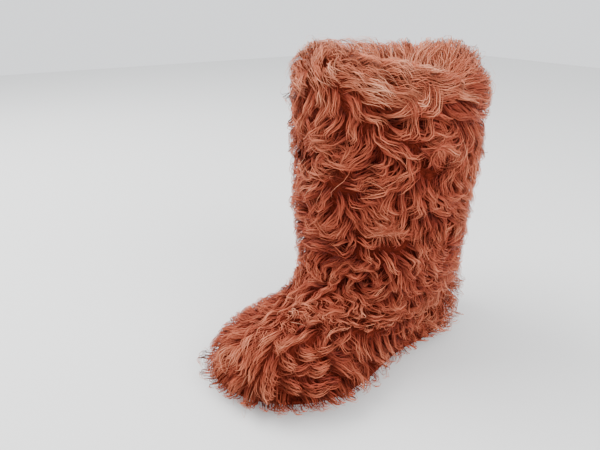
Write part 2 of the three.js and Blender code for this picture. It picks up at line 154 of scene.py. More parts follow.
# The lay of the hair. The girth turns angles into flat millimetres. By itself the hair hangs and
# wanders by a turn that grows up the leg, in waves round and up it. At the rim it is swept, from
# the front's way at one angle to the back's way opposite.
LAY_GIRTH = 75.0
WANDER = {"row": [-1, 3, 6, 9, 10.6, 12], "turn": [0.15, 0.35, 0.7, 0.8, 0.4, 0.15]}
WANDER_WAVES = [
    {"round": 2, "up": 37, "share": 1.0, "shift": 0.0},
    {"round": 3, "up": -24, "share": 0.8, "shift": 1.3},
]
RIM_SWEEP = {"angle": 50, "front": (0.9, -0.45), "back": (0.55, -0.85)}
RIM_ROWS = {"low": 10.7, "blend": 0.4}

# Combed places say which way the hair lies there, round and up the coat. Each whorl turns it about
# a place: spin winds it round, and draw pulls it in or, with a minus, away. Inside its reach a
# whorl also weakens what the hair did before.
COMB_STRENGTH = 1.3
WHORL_STRENGTH = 1.6
WHORL_CLEARS = 0.6
COMBED = [
    {"angle": 0, "up": 42, "reach": 24, "lay": (-0.2, -1.0)},
    {"angle": 26, "up": 42, "reach": 20, "lay": (0.35, -0.95)},
    {"angle": 15, "up": 20, "reach": 22, "lay": (-0.1, -1.0)},
    {"angle": 52, "up": 25, "reach": 22, "lay": (0.35, -0.95)},
    {"angle": 71, "up": 25, "reach": 20, "lay": (0.55, -0.85)},
    {"angle": 19, "up": 74, "reach": 18, "lay": (1.0, -0.15)},
    {"angle": 11, "up": 334, "reach": 26, "lay": (1.0, 0.0)},
    {"angle": 52, "up": 338, "reach": 22, "lay": (0.95, -0.3)},
    {"angle": 11, "up": 320, "reach": 14, "lay": (0.8, -0.6)},
    {"angle": 104, "up": 316, "reach": 20, "lay": (0.4, -0.9)},
    {"angle": 60, "up": 303, "reach": 16, "lay": (1.0, -0.1)},
    {"angle": 22, "up": 296, "reach": 16, "lay": (-0.3, -0.95)},
    {"angle": 0, "up": 240, "reach": 24, "lay": (-0.4, -0.9)},
    {"angle": 30, "up": 231, "reach": 16, "lay": (0.5, -0.85)},
    {"angle": 52, "up": 238, "reach": 14, "lay": (-0.2, -1.0)},
    {"angle": 76, "up": 244, "reach": 22, "lay": (0.6, -0.8)},
    {"angle": 106, "up": 223, "reach": 24, "lay": (0.65, -0.75)},
    {"angle": 62, "up": 190, "reach": 14, "lay": (1.0, 0.2)},
    {"angle": 30, "up": 187, "reach": 16, "lay": (-0.75, -0.65)},
    {"angle": 19, "up": 156, "reach": 16, "lay": (-0.25, -0.95)},
    {"angle": 66, "up": 156, "reach": 18, "lay": (0.85, -0.5)},
    {"angle": 98, "up": 144, "reach": 24, "lay": (0.55, -0.85)},
    {"angle": 64, "up": 98, "reach": 18, "lay": (0.9, -0.4)},
    {"angle": 30, "up": 110, "reach": 18, "lay": (1.0, -0.15)},
    {"angle": 120, "up": 33, "reach": 24, "lay": (0.6, -0.8)},
    {"angle": 158, "up": 20, "reach": 28, "lay": (0.1, -1.0)},
]
WHORLS = [
    {"angle": 50, "up": 206, "reach": 30, "spin": 0.15, "draw": 1.5},
    {"angle": 20, "up": 252, "reach": 20, "spin": 1.1, "draw": -0.2},
    {"angle": 88, "up": 272, "reach": 24, "spin": -1.0, "draw": 0.0},
    {"angle": 42, "up": 136, "reach": 18, "spin": 1.2, "draw": 0.2},
    {"angle": 100, "up": 176, "reach": 24, "spin": 0.9, "draw": -0.3},
    {"angle": 6, "up": 200, "reach": 24, "spin": -0.8, "draw": 0.2},
    {"angle": 132, "up": 236, "reach": 30, "spin": 0.7, "draw": 0.2},
    {"angle": 160, "up": 150, "reach": 30, "spin": -0.8, "draw": 0.3},
    {"angle": 178, "up": 250, "reach": 34, "spin": 0.8, "draw": 0.3},
    {"angle": -40, "up": 180, "reach": 34, "spin": 1.0, "draw": 0.2},
    {"angle": -75, "up": 250, "reach": 34, "spin": -0.9, "draw": 0.3},
    {"angle": -90, "up": 150, "reach": 32, "spin": 0.8, "draw": 0.5},
    {"angle": -130, "up": 200, "reach": 36, "spin": -1.0, "draw": 0.2},
    {"angle": 46, "up": 58, "reach": 16, "spin": -0.8, "draw": 0.2},
    {"angle": 84, "up": 74, "reach": 20, "spin": -0.9, "draw": 0.3},
    {"angle": -45, "up": 66, "reach": 22, "spin": -0.8, "draw": 0.0},
]

# How densely the hair grows, as a share of the usual: by row, where it is calm, and to one side
GROWING_ROWS = (-0.6, 12.9)
DENSITY = {"row": [9.5, 10.5, 12, 12.4], "share": [1, 1.2, 1.2, 0.5]}
CALM_DENSER = 0.35
SIDE_DENSER = 0.15
DENSEST_ANGLE = 65

# How long the hair is, by row
HAIR_LENGTH = {"row": [-1, 1, 4, 6, 9, 11, 13], "length": [20, 23, 24, 25, 26, 34, 26]}

# Where the hair lies calm: finer, straighter and less gathered into locks
CALM_RIM = {"calm": 0.7, "low": 10.9, "blend": 0.3}
CALM_PLACES = [
    {"angle": 5, "up": 25, "reach": 58, "calm": 0.6},
    {"angle": 135, "up": 220, "reach": 60, "calm": 0.35},
    {"angle": 50, "up": 208, "reach": 26, "calm": 0.5},
]

# Where the hair is paler or, with a minus, darker. It is darker in the hollows by a painted shade and
# paler on the swells by a painted light, and the rim is paler by a painted light from above.
PAINTED_SHADE_PER_MM = 0.022
PAINTED_RIM_LIGHT = {"patches_and_painted_light": 0.13, "low": 10.6, "blend": 0.5}
PATCHES = [
    {"angle": 55, "up": 235, "reach": 60, "patches_and_painted_light": -0.07},
    {"angle": 30, "up": 150, "reach": 50, "patches_and_painted_light": -0.04},
    {"angle": 150, "up": 200, "reach": 60, "patches_and_painted_light": 0.08},
    {"angle": 160, "up": 50, "reach": 60, "patches_and_painted_light": 0.09},
    {"angle": 15, "up": 30, "reach": 60, "patches_and_painted_light": 0.04},
]

# The hair, in panels of like area: rows of the tables, and degrees round the boot
PANELS = [
    {"name": "foot_hair_outer", "node": "fur_foot", "rows": (-1, 6.4), "turn": (0, 180)},
    {"name": "foot_hair_inner", "node": "fur_foot", "rows": (-1, 6.4), "turn": (180, 360)},
    {"name": "leg_hair_outer", "node": "fur_shaft", "rows": (6.4, 10.45), "turn": (17, 138)},
    {"name": "leg_hair_front", "node": "fur_shaft", "rows": (6.4, 10.45), "turn": (-103, 17)},
    {"name": "leg_hair_back", "node": "fur_shaft", "rows": (6.4, 10.45), "turn": (138, 257)},
    {"name": "collar_hair_outer", "node": "fur_collar", "rows": (10.45, 13), "turn": (-23, 155)},
    {"name": "collar_hair_inner", "node": "fur_collar", "rows": (10.45, 13), "turn": (155, 337)},
]

# What the hair tree takes in: lengths in metres, Strands for each square metre, and shares
HAIR_SEED = 3
HAIR_INPUTS = [
    ("Locks Apart", "NodeSocketFloat", 0.0078),
    ("Strands", "NodeSocketFloat", 80500.0),
    ("Rings", "NodeSocketInt", 7),
    ("Strand Width", "NodeSocketFloat", 0.00037),
    ("Wisp Share", "NodeSocketFloat", 0.66),
    ("Wisp Width", "NodeSocketFloat", 2.5),
    ("Root Height", "NodeSocketFloat", 0.6),
    ("Curl Width", "NodeSocketFloat", 0.0037),
    ("Curl Turns", "NodeSocketFloat", 1.1),
    ("Gather", "NodeSocketFloat", 0.78),
    ("Frizz", "NodeSocketFloat", 0.35),
    ("Stray", "NodeSocketFloat", 0.006),
    ("Lowest", "NodeSocketFloat", 0.0),
    ("Highest", "NodeSocketFloat", 0.0),
    ("Seed", "NodeSocketInt", 1),
    ("Hair", "NodeSocketMaterial", None),
]
MOST_LOCKS = 40000.0

# How locks and strands differ from their neighbours: the least, the most and a seed of its own
CHANCES = {
    "lock_length": (0.72, 1.18, 11),
    "strand_length": (0.8, 1.05, 12),
    "stray": (0.0, 1.0, 13),
    "lock_phase": (-0.12, 0.12, 14),
    "strand_phase": (-0.05, 0.05, 15),
    "lock_bend": (-0.35, 0.35, 16),
    "stray_bend": (-1.2, 1.2, 17),
    "lock_height": (0.98, 1.12, 18),
    "strand_height": (0.93, 1.03, 19),
    "lock_shade": (0.0, 1.0, 20),
    "strand_shade": (0.0, 1.0, 21),
    "strand_thickness": (0.7, 1.15, 22),
    "wisp": (0.0, 1.0, 23),
    "frizz": (-1.0, 1.0, 24),
}

# Slow waves over the coat that make neighbouring locks curl and bend alike
CURL_WAVES = {"scale": 28.0, "turns": 4.0}
BEND_WAVES = {"scale": 20.0, "shift": (0.3, 0.7, 0.5), "reach": 6.0}

# How a strand runs from its root to its tip. An ease above 1 puts the change nearer to the tip.
TRAVEL_EASE = 1.25
SWING_EASE = 0.6
GATHER_EASE = 1.4
TAPER_EASE = 1.8
TAPER = 0.9
ARCH = 2.2
CURL_LIFT = 0.7
EDGE_DROP = 0.2
STRAY_LONGER = 0.2
STRAY_HIGHER = 0.12
HEM_SLOPE = 0.8
LOCK_ROUNDNESS = 1.5
STRAND_SIDES = 3
STRAND_FLATNESS = 0.45

# What calm hair keeps of its swing and its gather, how much thinner it is, and how much less the
# liveliest hair frizzes
CALM_SWING = 0.4
CALM_GATHER = 0.25
CALM_THINNER = 0.35
LIVELY_LESS_FRIZZ = 0.4

# What the hair's finish reads from its mesh
HAIR_FACTS_KEPT = {
    "across", "along", "away", "depth", "edge", "lock_shade", "patches_and_painted_light", "strand_shade", "thick",
}

# The hair's colours from its darkest tone to its palest one
HAIR_COLORS = [
    (0.0, (0.08, 0.008, 0.005)),
    (0.3, (0.24, 0.031, 0.016)),
    (0.6, (0.48, 0.096, 0.047)),
    (0.85, (0.76, 0.235, 0.125)),
    (1.0, (0.93, 0.41, 0.25)),
]

# The hair's tone at its root, and what each stored value adds to it. Hair that lies low in the coat
# is darker by its depth, a painted shade. The edge of a lock is darker too, a painted shade between
# locks, and the fibres that each strand stands for vary it.
ROOT_TONE = -0.535
TONES_AND_PAINTED_SHADE = {"depth": 1.05, "along": 0.1, "lock_shade": 0.15, "strand_shade": 0.08}
PAINTED_GAP_SHADE = 0.2
FIBRE_CONTRAST = 0.5
FIBRES = {"across": 0.6, "shift": 90.0, "stretch": 1.5, "scale": 0.5, "detail": 3.0}
CRIMP = {"along": 26.0, "shift": 40.0, "depth": 0.3}
FIBRE_BUMP = {"strength": 0.4, "distance": 0.0006}
HAIR_GLOSS = 0.1
HAIR_ROUGHNESS = 0.5

# How far the light on a strand follows the roundness of its whole lock
SOFTNESS = 0.85

# The undercoat's colours, dark as a painted shade of the hair deep in the coat, and its wool: tufts
# that lie as the hair does, each with its own shade, and darker towards its edge, a painted shade
# between tufts
UNDERCOAT_PAINTED_SHADE_COLORS = [
    (0.0, (0.045, 0.005, 0.003)),
    (0.5, (0.13, 0.018, 0.01)),
    (1.0, (0.3, 0.052, 0.029)),
]
UNDERCOAT_ROUGHNESS = 0.8
TUFTS_PER_MM = 0.09
WOOL = {"across": 2.2, "along": 0.25, "shift": 40.0, "scale": 0.5, "detail": 2.0}
WOOL_TONE_AND_PAINTED_SHADE = {"wool": 1.2, "base": -0.2, "edge": -0.035, "patches_and_painted_light": 2.0}
WOOL_BUMP = {"strength": 1.0, "distance": 0.003}

# The nap of fleece, hide and rubber: its mottle and how strongly its grain shows
NAP_MOTTLE = 30.0
NAP_TONE = {"fine": 0.6, "broad": 0.4, "dark": 0.3, "light": 0.7}
NAP_BUMP = 0.8
NAP_GLOSS = 0.2

# The finishes with a nap: two colours, roughness, and the grain's size and depth in metres
NAPS = {
    "fleece": {"dark": (0.16, 0.045, 0.024), "light": (0.42, 0.17, 0.1), "rough": 0.95,
               "grain": 0.004, "depth": 0.0015},
    "hide": {"dark": (0.11, 0.035, 0.02), "light": (0.2, 0.07, 0.04), "rough": 0.9,
             "grain": 0.0012, "depth": 0.0002},
    "rubber": {"dark": (0.012, 0.01, 0.009), "light": (0.035, 0.028, 0.025), "rough": 0.65,
               "grain": 0.0008, "depth": 0.0001},
}

# The floor, in metres, and its colour
FLOOR_SIZE = 6.0
FLOOR_COLOR = (0.78, 0.78, 0.77)
FLOOR_ROUGHNESS = 0.9

# The lights: places and sizes in metres and power in watts. Both face the middle of the boot.
LIGHT_AIM = (0, -0.05, 0.15)
LIGHTS = [
    {"name": "window", "place": (-0.9, -1.0, 1.6), "size": 1.4, "watts": 59},
    {"name": "fill", "place": (1.4, 0.3, 1.3), "size": 1.2, "watts": 27},
]
ROOM_COLOR = (0.95, 0.97, 1.0)
ROOM_STRENGTH = 1.5

# The camera: its place, the way that it looks, and its lens for a picture 600 pixels wide
CAMERA_AT = (374.1, -301.2, 402.7)
CAMERA_TURN = math.radians(58.4)
CAMERA_TILT = math.radians(26.4)
FOCAL_PIXELS = 451.0
PICTURE_WIDTH = 600.0
SENSOR_WIDTH = 36.0
NEAREST_SEEN = 0.01


# Plain arithmetic
def spline(column, place):
    """A smooth value between the entries of a column, at a place counted in entries."""
    values = np.asarray(column, float)
    last = len(values) - 1
    i = np.clip(np.floor(place).astype(int), 0, last - 1)
    t = place - i
    a, b, c, d = (values[np.clip(i + k, 0, last)] for k in (-1, 0, 1, 2))
    curve = c - a + t * (2 * a - 5 * b + 4 * c - d + t * (3 * (b - c) + d - a))
    return b + 0.5 * t * curve


def mix(a, b, t):
    """The way from a to b by the share t."""
    return a + (b - a) * t


def smoothstep(t):
    """Eases a share in and out, and keeps it from 0 to 1."""
    t = np.clip(t, 0, 1)
    return t * t * (3 - 2 * t)


def in_frame(points):
    """Points in the boot's millimetres, in the frame's metres."""
    return (np.asarray(points) - [0, HEEL_REST_Y, 0]) * MM


# The upper's outside
def outline_at(s, side):
    """The outline's half width on one side, and its lean, at s from toe to heel."""
    stations = OUTLINE["at"]
    place = np.interp(s, stations, range(len(stations)))
    reach = np.where(side < 0, spline(OUTLINE["inner"], place), spline(OUTLINE["outer"], place))
    return reach, spline(OUTLINE["lean"], place)


def hide_point(angle, row):
    """Points of the upper's outside, where the angle is in radians."""
    place = np.clip(row, 0, TOP_ROW)
    cut = {name: spline(column, place) for name, column in SECTIONS.items()}
    s = (1 - np.cos(angle)) / 2
    reach, lean = outline_at(s, np.sin(angle))
    oval = mix(cut["front"], cut["back"], s)
    half = mix(reach - UPPER_INSET, oval, cut["round"])
    return np.stack([
        lean * (1 - cut["round"]) + np.sin(angle) * half,
        mix(cut["front_y"], cut["back_y"], s),
        mix(cut["front_z"], cut["back_z"], s),
    ], -1)


def normals_of(points):
    """Outward normals of a grid of points, whose first axis runs round and second one up."""
    normal = np.cross(np.gradient(points, axis=0), np.gradient(points, axis=1))
    return normal / np.maximum(np.linalg.norm(normal, axis=-1, keepdims=True), TINY)


# The coat
FLANK_ROWS = np.linspace(0, TOP_ROW, FLANK_STATIONS)
FLANK_STEPS = np.diff(hide_point(np.full(FLANK_STATIONS, math.pi / 2), FLANK_ROWS), axis=0)
FLANK_UP = np.concatenate([[0], np.cumsum(np.linalg.norm(FLANK_STEPS, axis=1))])
TOP_UP = float(FLANK_UP[-1])
COAT_TOP_UP = TOP_UP + RIM_LENGTH + INSIDE_LENGTH
LOWEST_HAIR = 1 - SKIRT_LENGTH
HIGHEST_HAIR = COAT_TOP_UP - 1


def row_at(up):
    """The row at a height up the coat."""
    under = np.clip(up / SKIRT_LENGTH, -1, 0)
    over = np.clip((up - TOP_UP) / RIM_LENGTH, 0, 1)
    inside = np.clip((up - TOP_UP - RIM_LENGTH) / INSIDE_LENGTH, 0, 1)
    return under + np.interp(up, FLANK_UP, FLANK_ROWS) + over + inside


def coat_point(angle, up):
    """Points of the coat at flat coordinates on a grid."""
    depth = np.clip(up - TOP_UP - RIM_LENGTH, 0, None)
    rows = np.interp(up, FLANK_UP, FLANK_ROWS) - depth / TOP_ROW_LENGTH
    point = hide_point(angle, rows)
    outward = np.stack([np.sin(angle), -np.cos(angle), np.zeros_like(angle)], -1)
    over = np.clip((up - TOP_UP) / RIM_LENGTH, 0, 1)
    hang = np.clip(-up / SKIRT_LENGTH, 0, 1)
    point = point + outward * (SKIRT_FLARE * hang ** 2 - WALL * over)[..., None]
    point[..., 2] += RIM_RISE * np.sin(math.pi * over)
    point[..., 2] = mix(point[..., 2], SKIRT_LOW, hang)
    return point


def soften(values, passes):
    """Averages each value of a grid with its neighbours up and down."""
    for _ in range(passes):
        padded = np.concatenate([values[:, :1], values, values[:, -1:]], 1)
        values = (padded[:, :-2] + 2 * padded[:, 1:-1] + padded[:, 2:]) / 4
    return values


def pile_at(row, angle):
    """The depth of the hair's mass, blended smoothly between the columns of its table."""
    names = list(PILE_ANGLES)
    turns = [PILE_ANGLES[name] for name in names] + [360]
    place = np.interp(np.degrees(angle) % 360, turns, range(len(turns)))
    step = np.clip(np.floor(place).astype(int), 0, len(names) - 1)
    ease = smoothstep(place - step)
    columns = np.stack([np.interp(row, PILE["row"], PILE[name]) for name in names + names[:1]])
    before = np.take_along_axis(columns, step[None], 0)[0]
    after = np.take_along_axis(columns, step[None] + 1, 0)[0]
    return mix(before, after, ease)


def about(place, angle, up):
    """How far a point of the coat lies round and up from a place, in flat millimetres."""
    away = (angle - math.radians(place["angle"]) + math.pi) % (2 * math.pi) - math.pi
    return away * LAY_GIRTH, up - place["up"]


def near(place, angle, up):
    """How near a point of the coat is to a place: 1 in its middle, and little past its reach."""
    along, high = about(place, angle, up)
    return np.exp(-(along ** 2 + high ** 2) / place["reach"] ** 2)


def relief_at(angle, up):
    """How far the hollows and swells move the hair's mass."""
    total = np.zeros_like(angle)
    for form in RELIEF:
        along, high = about(form, angle, up)
        high = high - form["slant"] * along
        total += form["out"] * np.exp(-((along / form["round"]) ** 2) - (high / form["high"]) ** 2)
    return total


def wandering_lay(angle, up, row):
    """The way that the hair lies by itself, before it is combed."""
    waves = sum(wave["share"] * np.sin(wave["round"] * angle + up / wave["up"] + wave["shift"])
                for wave in WANDER_WAVES)
    turn = np.interp(row, WANDER["row"], WANDER["turn"]) * waves
    return np.stack([np.sin(turn), -np.cos(turn)], -1)


def rim_lay(angle):
    """The way that the hair of the rim is swept."""
    facing = (1 + np.cos(angle - math.radians(RIM_SWEEP["angle"])))[..., None] / 2
    return mix(np.array(RIM_SWEEP["back"]), np.array(RIM_SWEEP["front"]), facing)


def lay_of(angle, up):
    """The way that the hair lies, as a unit arrow in flat millimetres: round, and up the coat."""
    row = row_at(up)
    rim = smoothstep((row - RIM_ROWS["low"]) / RIM_ROWS["blend"])[..., None]
    arrow = mix(wandering_lay(angle, up, row), rim_lay(angle), rim)
    for place in COMBED:
        weight = near(place, angle, up)[..., None]
        arrow = mix(arrow, np.array(place["lay"]), np.minimum(COMB_STRENGTH * weight, 1))
    for whorl in WHORLS:
        from_eye = np.stack(about(whorl, angle, up), -1)
        unit = from_eye / np.maximum(np.linalg.norm(from_eye, axis=-1, keepdims=True), 1)
        round_eye = np.stack([-unit[..., 1], unit[..., 0]], -1)
        weight = near(whorl, angle, up)[..., None] * WHORL_STRENGTH
        arrow = arrow * (1 - WHORL_CLEARS * np.minimum(weight, 1))
        arrow = arrow + weight * (whorl["spin"] * round_eye - whorl["draw"] * unit)
    return arrow / np.maximum(np.linalg.norm(arrow, axis=-1, keepdims=True), TINY)


def calm_at(angle, up, row):
    """How calm the hair is, from 0 for the curliest to 1."""
    total = CALM_RIM["calm"] * smoothstep((row - CALM_RIM["low"]) / CALM_RIM["blend"])
    for place in CALM_PLACES:
        total = np.maximum(total, place["calm"] * near(place, angle, up))
    return total


def painted_light_and_patches(angle, up, row):
    """How much paler the hair is than its usual colour: painted light on the rim and on the swells,
    painted shade in the hollows, and the patches.
    """
    rim = PAINTED_RIM_LIGHT["patches_and_painted_light"] * smoothstep((row - PAINTED_RIM_LIGHT["low"]) / PAINTED_RIM_LIGHT["blend"])
    total = rim + PAINTED_SHADE_PER_MM * relief_at(angle, up)
    for patch in PATCHES:
        total = total + patch["patches_and_painted_light"] * near(patch, angle, up)
    return total


def density_at(angle, row, calm):
    """How densely the hair grows, as a share of the usual."""
    dense = np.interp(row, DENSITY["row"], DENSITY["share"]) * (1 + CALM_DENSER * calm)
    return dense * (1 + SIDE_DENSER * np.cos(angle - math.radians(DENSEST_ANGLE)))


def in_panel(panel, angle, row):
    """Where on the coat's grid a panel lies."""
    (low, high), (start, end) = panel["rows"], panel["turn"]
    return (row >= low) & (row < high) & ((np.degrees(angle) - start) % 360 < end - start)


def coat_grid(first, count):
    """Flat coordinates, rows, points and the hair's mass on a grid of the coat."""
    angles = (np.arange(count) + first) * 2 * math.pi / AROUND - math.pi
    ups = np.linspace(-SKIRT_LENGTH, COAT_TOP_UP, round((COAT_TOP_UP + SKIRT_LENGTH) / UP_STEP))
    angle, up = np.meshgrid(angles, ups, indexing="ij")
    point = coat_point(angle, up)
    outward = soften(normals_of(point), NORMAL_PASSES)
    outward /= np.linalg.norm(outward, axis=-1, keepdims=True)
    row = row_at(up)
    mass = outward * (pile_at(row, angle) + relief_at(angle, up))[..., None]
    return angle, up, row, point, mass


# Meshes from grids of points
def new_piece(name, points, faces, material=None):
    """Makes an object from points in metres and faces, shaded smooth."""
    mesh = bpy.data.meshes.new(name)
    mesh.from_pydata(np.asarray(points).reshape(-1, 3).tolist(), [], faces)
    mesh.polygons.foreach_set("use_smooth", [True] * len(mesh.polygons))
    piece = bpy.data.objects.new(name, mesh)
    bpy.context.scene.collection.objects.link(piece)
    if material:
        mesh.materials.append(material)
    return piece


def grid_faces(around, up, closed):
    """Faces of a grid whose points run up first. A closed grid joins its last column to its first."""
    faces = []
    for i in range(around if closed else around - 1):
        for j in range(up - 1):
            a, b = i * up + j, (i + 1) % around * up + j
            faces.append((a, b, b + 1, a + 1))
    return faces


def shell(name, outside, inside, material):
    """A closed wall between two grids of points round the boot."""
    rings = np.concatenate([outside, inside[:, ::-1]], 1)
    around, up = rings.shape[:2]
    faces = grid_faces(around, up, True)
    for i in range(around):
        a, b = i * up, (i + 1) % around * up
        faces.append((a, a + up - 1, b + up - 1, b))
    return new_piece(name, in_frame(rings), faces, material)


def add_attribute(mesh, name, values):
    """Stores a value or an arrow for each point of a mesh."""
    arrow = values.shape[-1] == 3
    attribute = mesh.attributes.new(name, "FLOAT_VECTOR" if arrow else "FLOAT", "POINT")
    attribute.data.foreach_set("vector" if arrow else "value", values.reshape(-1).astype(np.float32))


def coat_mesh(panel):
    """The coat with all that the hair needs to know about it, and where this panel's hair grows."""
    angle, up, row, point, mass = coat_grid(-OVERLAP, AROUND + 1 + 2 * OVERLAP)
    around, high = angle.shape
    surface = point + mass * SURFACE_SHARE
    piece = new_piece(panel["name"] + "_ground", in_frame(surface), grid_faces(around, high, False))
    zero = np.zeros_like(angle)
    stretch_round = np.linalg.norm(np.gradient(surface, axis=0), axis=-1) / (2 * math.pi / AROUND)
    stretch_up = np.linalg.norm(np.gradient(surface, axis=1), axis=-1) / np.gradient(up, axis=1)
    length = np.interp(row, HAIR_LENGTH["row"], HAIR_LENGTH["length"])
    calm = calm_at(angle, up, row)
    grows = (row > GROWING_ROWS[0]) & (row < GROWING_ROWS[1])
    once = np.abs(angle) <= math.pi + TINY
    here = grows & once & in_panel(panel, angle, row)
    stored_values = {
        "flat": np.stack([angle, up * MM, zero], -1),
        "stretch": np.stack([stretch_round * MM, stretch_up, zero + 1], -1),
        "lay": np.concatenate([lay_of(angle, up), zero[..., None]], -1),
        "mass": mass * MM,
        "hide": in_frame(point),
        "hair_length": (length * MM)[..., None],
        "patches_and_painted_light": painted_light_and_patches(angle, up, row)[..., None],
        "calm": calm[..., None],
        "lock_roots": grows[..., None].astype(float),
        "roots": (density_at(angle, row, calm) * here)[..., None],
    }
    for name, values in stored_values.items():
        add_attribute(piece.data, name, values)
    return piece


# Nodes
class Value:
    """A socket in a node tree, with arithmetic that adds the nodes for it."""

    def __init__(self, tree, socket):
        self.tree = tree
        self.socket = socket

    def apply(self, operation, *others):
        """Adds a maths node, for arrows where any part is one."""
        parts = (self, *others)
        arrows = [isinstance(part, Value) and part.socket.type == "VECTOR" for part in parts]
        if operation == "MULTIPLY" and arrows == [True, False]:
            operation = "SCALE"
        node = self.tree.nodes.new("ShaderNodeVectorMath" if any(arrows) else "ShaderNodeMath")
        node.operation = operation
        inputs = [socket for socket in node.inputs if socket.enabled]
        for part, target in zip(parts, inputs):
            connect(self.tree, part, target)
        return first_output(self.tree, node)

    def __add__(self, other):
        return self.apply("ADD", other)

    def __sub__(self, other):
        return self.apply("SUBTRACT", other)

    def __mul__(self, other):
        return self.apply("MULTIPLY", other)

    def __truediv__(self, other):
        return self.apply("DIVIDE", other)

    def __pow__(self, other):
        return self.apply("POWER", other)


def first_output(tree, node):
    """The first output that a node has in use."""
    return Value(tree, next(socket for socket in node.outputs if socket.enabled))


def connect(tree, value, target):
    """Feeds a socket from another socket or with a constant."""
    if isinstance(value, Value):
        tree.links.new(value.socket, target)
    else:
        target.default_value = value


def add_node(tree, kind, settings=None, **values):
    """Adds a node. An input's name has _ where the socket's own name has a space."""
    node = tree.nodes.new(kind)
    for name, setting in (settings or {}).items():
        setattr(node, name, setting)
    for name, value in values.items():
        wanted = name.replace("_", " ")
        connect(tree, value, next(s for s in node.inputs if s.enabled and s.name == wanted))
    return node


def result(tree, kind, settings=None, **values):
    """Adds a node and gives its first output."""
    return first_output(tree, add_node(tree, kind, settings, **values))


def stored(tree, name, kind="FLOAT"):
    """A value that the geometry stores under a name."""
    return result(tree, "GeometryNodeInputNamedAttribute", {"data_type": kind}, Name=name)


def store(tree, geometry, name, value, kind="FLOAT"):
    """Stores a value on each point of the geometry."""
    settings = {"data_type": kind, "domain": "POINT"}
    return result(tree, "GeometryNodeStoreNamedAttribute", settings,
                  Geometry=geometry, Name=name, Value=value)


def chance(tree, name, which):
    """A value that differs for each lock or strand, within its range."""
    least, most, seed = CHANCES[name]
    return result(tree, "FunctionNodeRandomValue", {"data_type": "FLOAT"},
                  Min=least, Max=most, ID=which, Seed=seed)


def parts_of(tree, arrow):
    """An arrow's three parts."""
    node = add_node(tree, "ShaderNodeSeparateXYZ", Vector=arrow)
    return [Value(tree, socket) for socket in node.outputs]


def arrow_of(tree, x, y, z=0.0):
    """An arrow from its parts."""
    return result(tree, "ShaderNodeCombineXYZ", X=x, Y=y, Z=z)


def group_inputs(tree):
    """What a tree is given, by name."""
    entry = tree.nodes.new("NodeGroupInput")
    return {socket.name: Value(tree, socket) for socket in entry.outputs if socket.name}


# The hair tree
def hair_roots(tree, given):
    """Sets locks apart on the coat laid out flat, and strands on the coat, each in its nearest lock."""
    coat, seed = given["Coat"], given["Seed"]
    flat_round, flat_up, _ = parts_of(tree, stored(tree, "flat", "FLOAT_VECTOR"))
    laid_out = arrow_of(tree, flat_round * (LAY_GIRTH * MM), flat_up)
    flat_coat = result(tree, "GeometryNodeSetPosition", Geometry=coat, Position=laid_out)
    locks = result(tree, "GeometryNodeDistributePointsOnFaces", {"distribute_method": "POISSON"},
                   Mesh=flat_coat, Distance_Min=given["Locks Apart"], Density_Max=MOST_LOCKS,
                   Density_Factor=stored(tree, "lock_roots"), Seed=seed)
    strands = result(tree, "GeometryNodeDistributePointsOnFaces",
                     Mesh=coat, Density=stored(tree, "roots") * given["Strands"], Seed=seed + 1)
    lock = result(tree, "GeometryNodeSampleNearest", Geometry=locks, Sample_Position=laid_out)
    return locks, lock, strands


def of_lock(tree, locks, lock, value, kind="FLOAT"):
    """What a value is at the strand's lock."""
    return result(tree, "GeometryNodeSampleIndex", {"data_type": kind},
                  Geometry=locks, Value=value, Index=lock)


def waves(tree, place, scale):
    """Slow waves over the coat, from 0 to 1."""
    return result(tree, "ShaderNodeTexNoise", {"noise_dimensions": "3D"},
                  Vector=place, Scale=scale, Detail=0.0)


def strand_length(tree, given, lock_length, own, lock):
    """How long each strand is, so that it ends at the hem."""
    length = lock_length * chance(tree, "lock_length", lock) * chance(tree, "strand_length", own)
    _, root_up, _ = parts_of(tree, stored(tree, "flat", "FLOAT_VECTOR"))
    return length.apply("MINIMUM", (root_up - given["Lowest"]) / HEM_SLOPE)


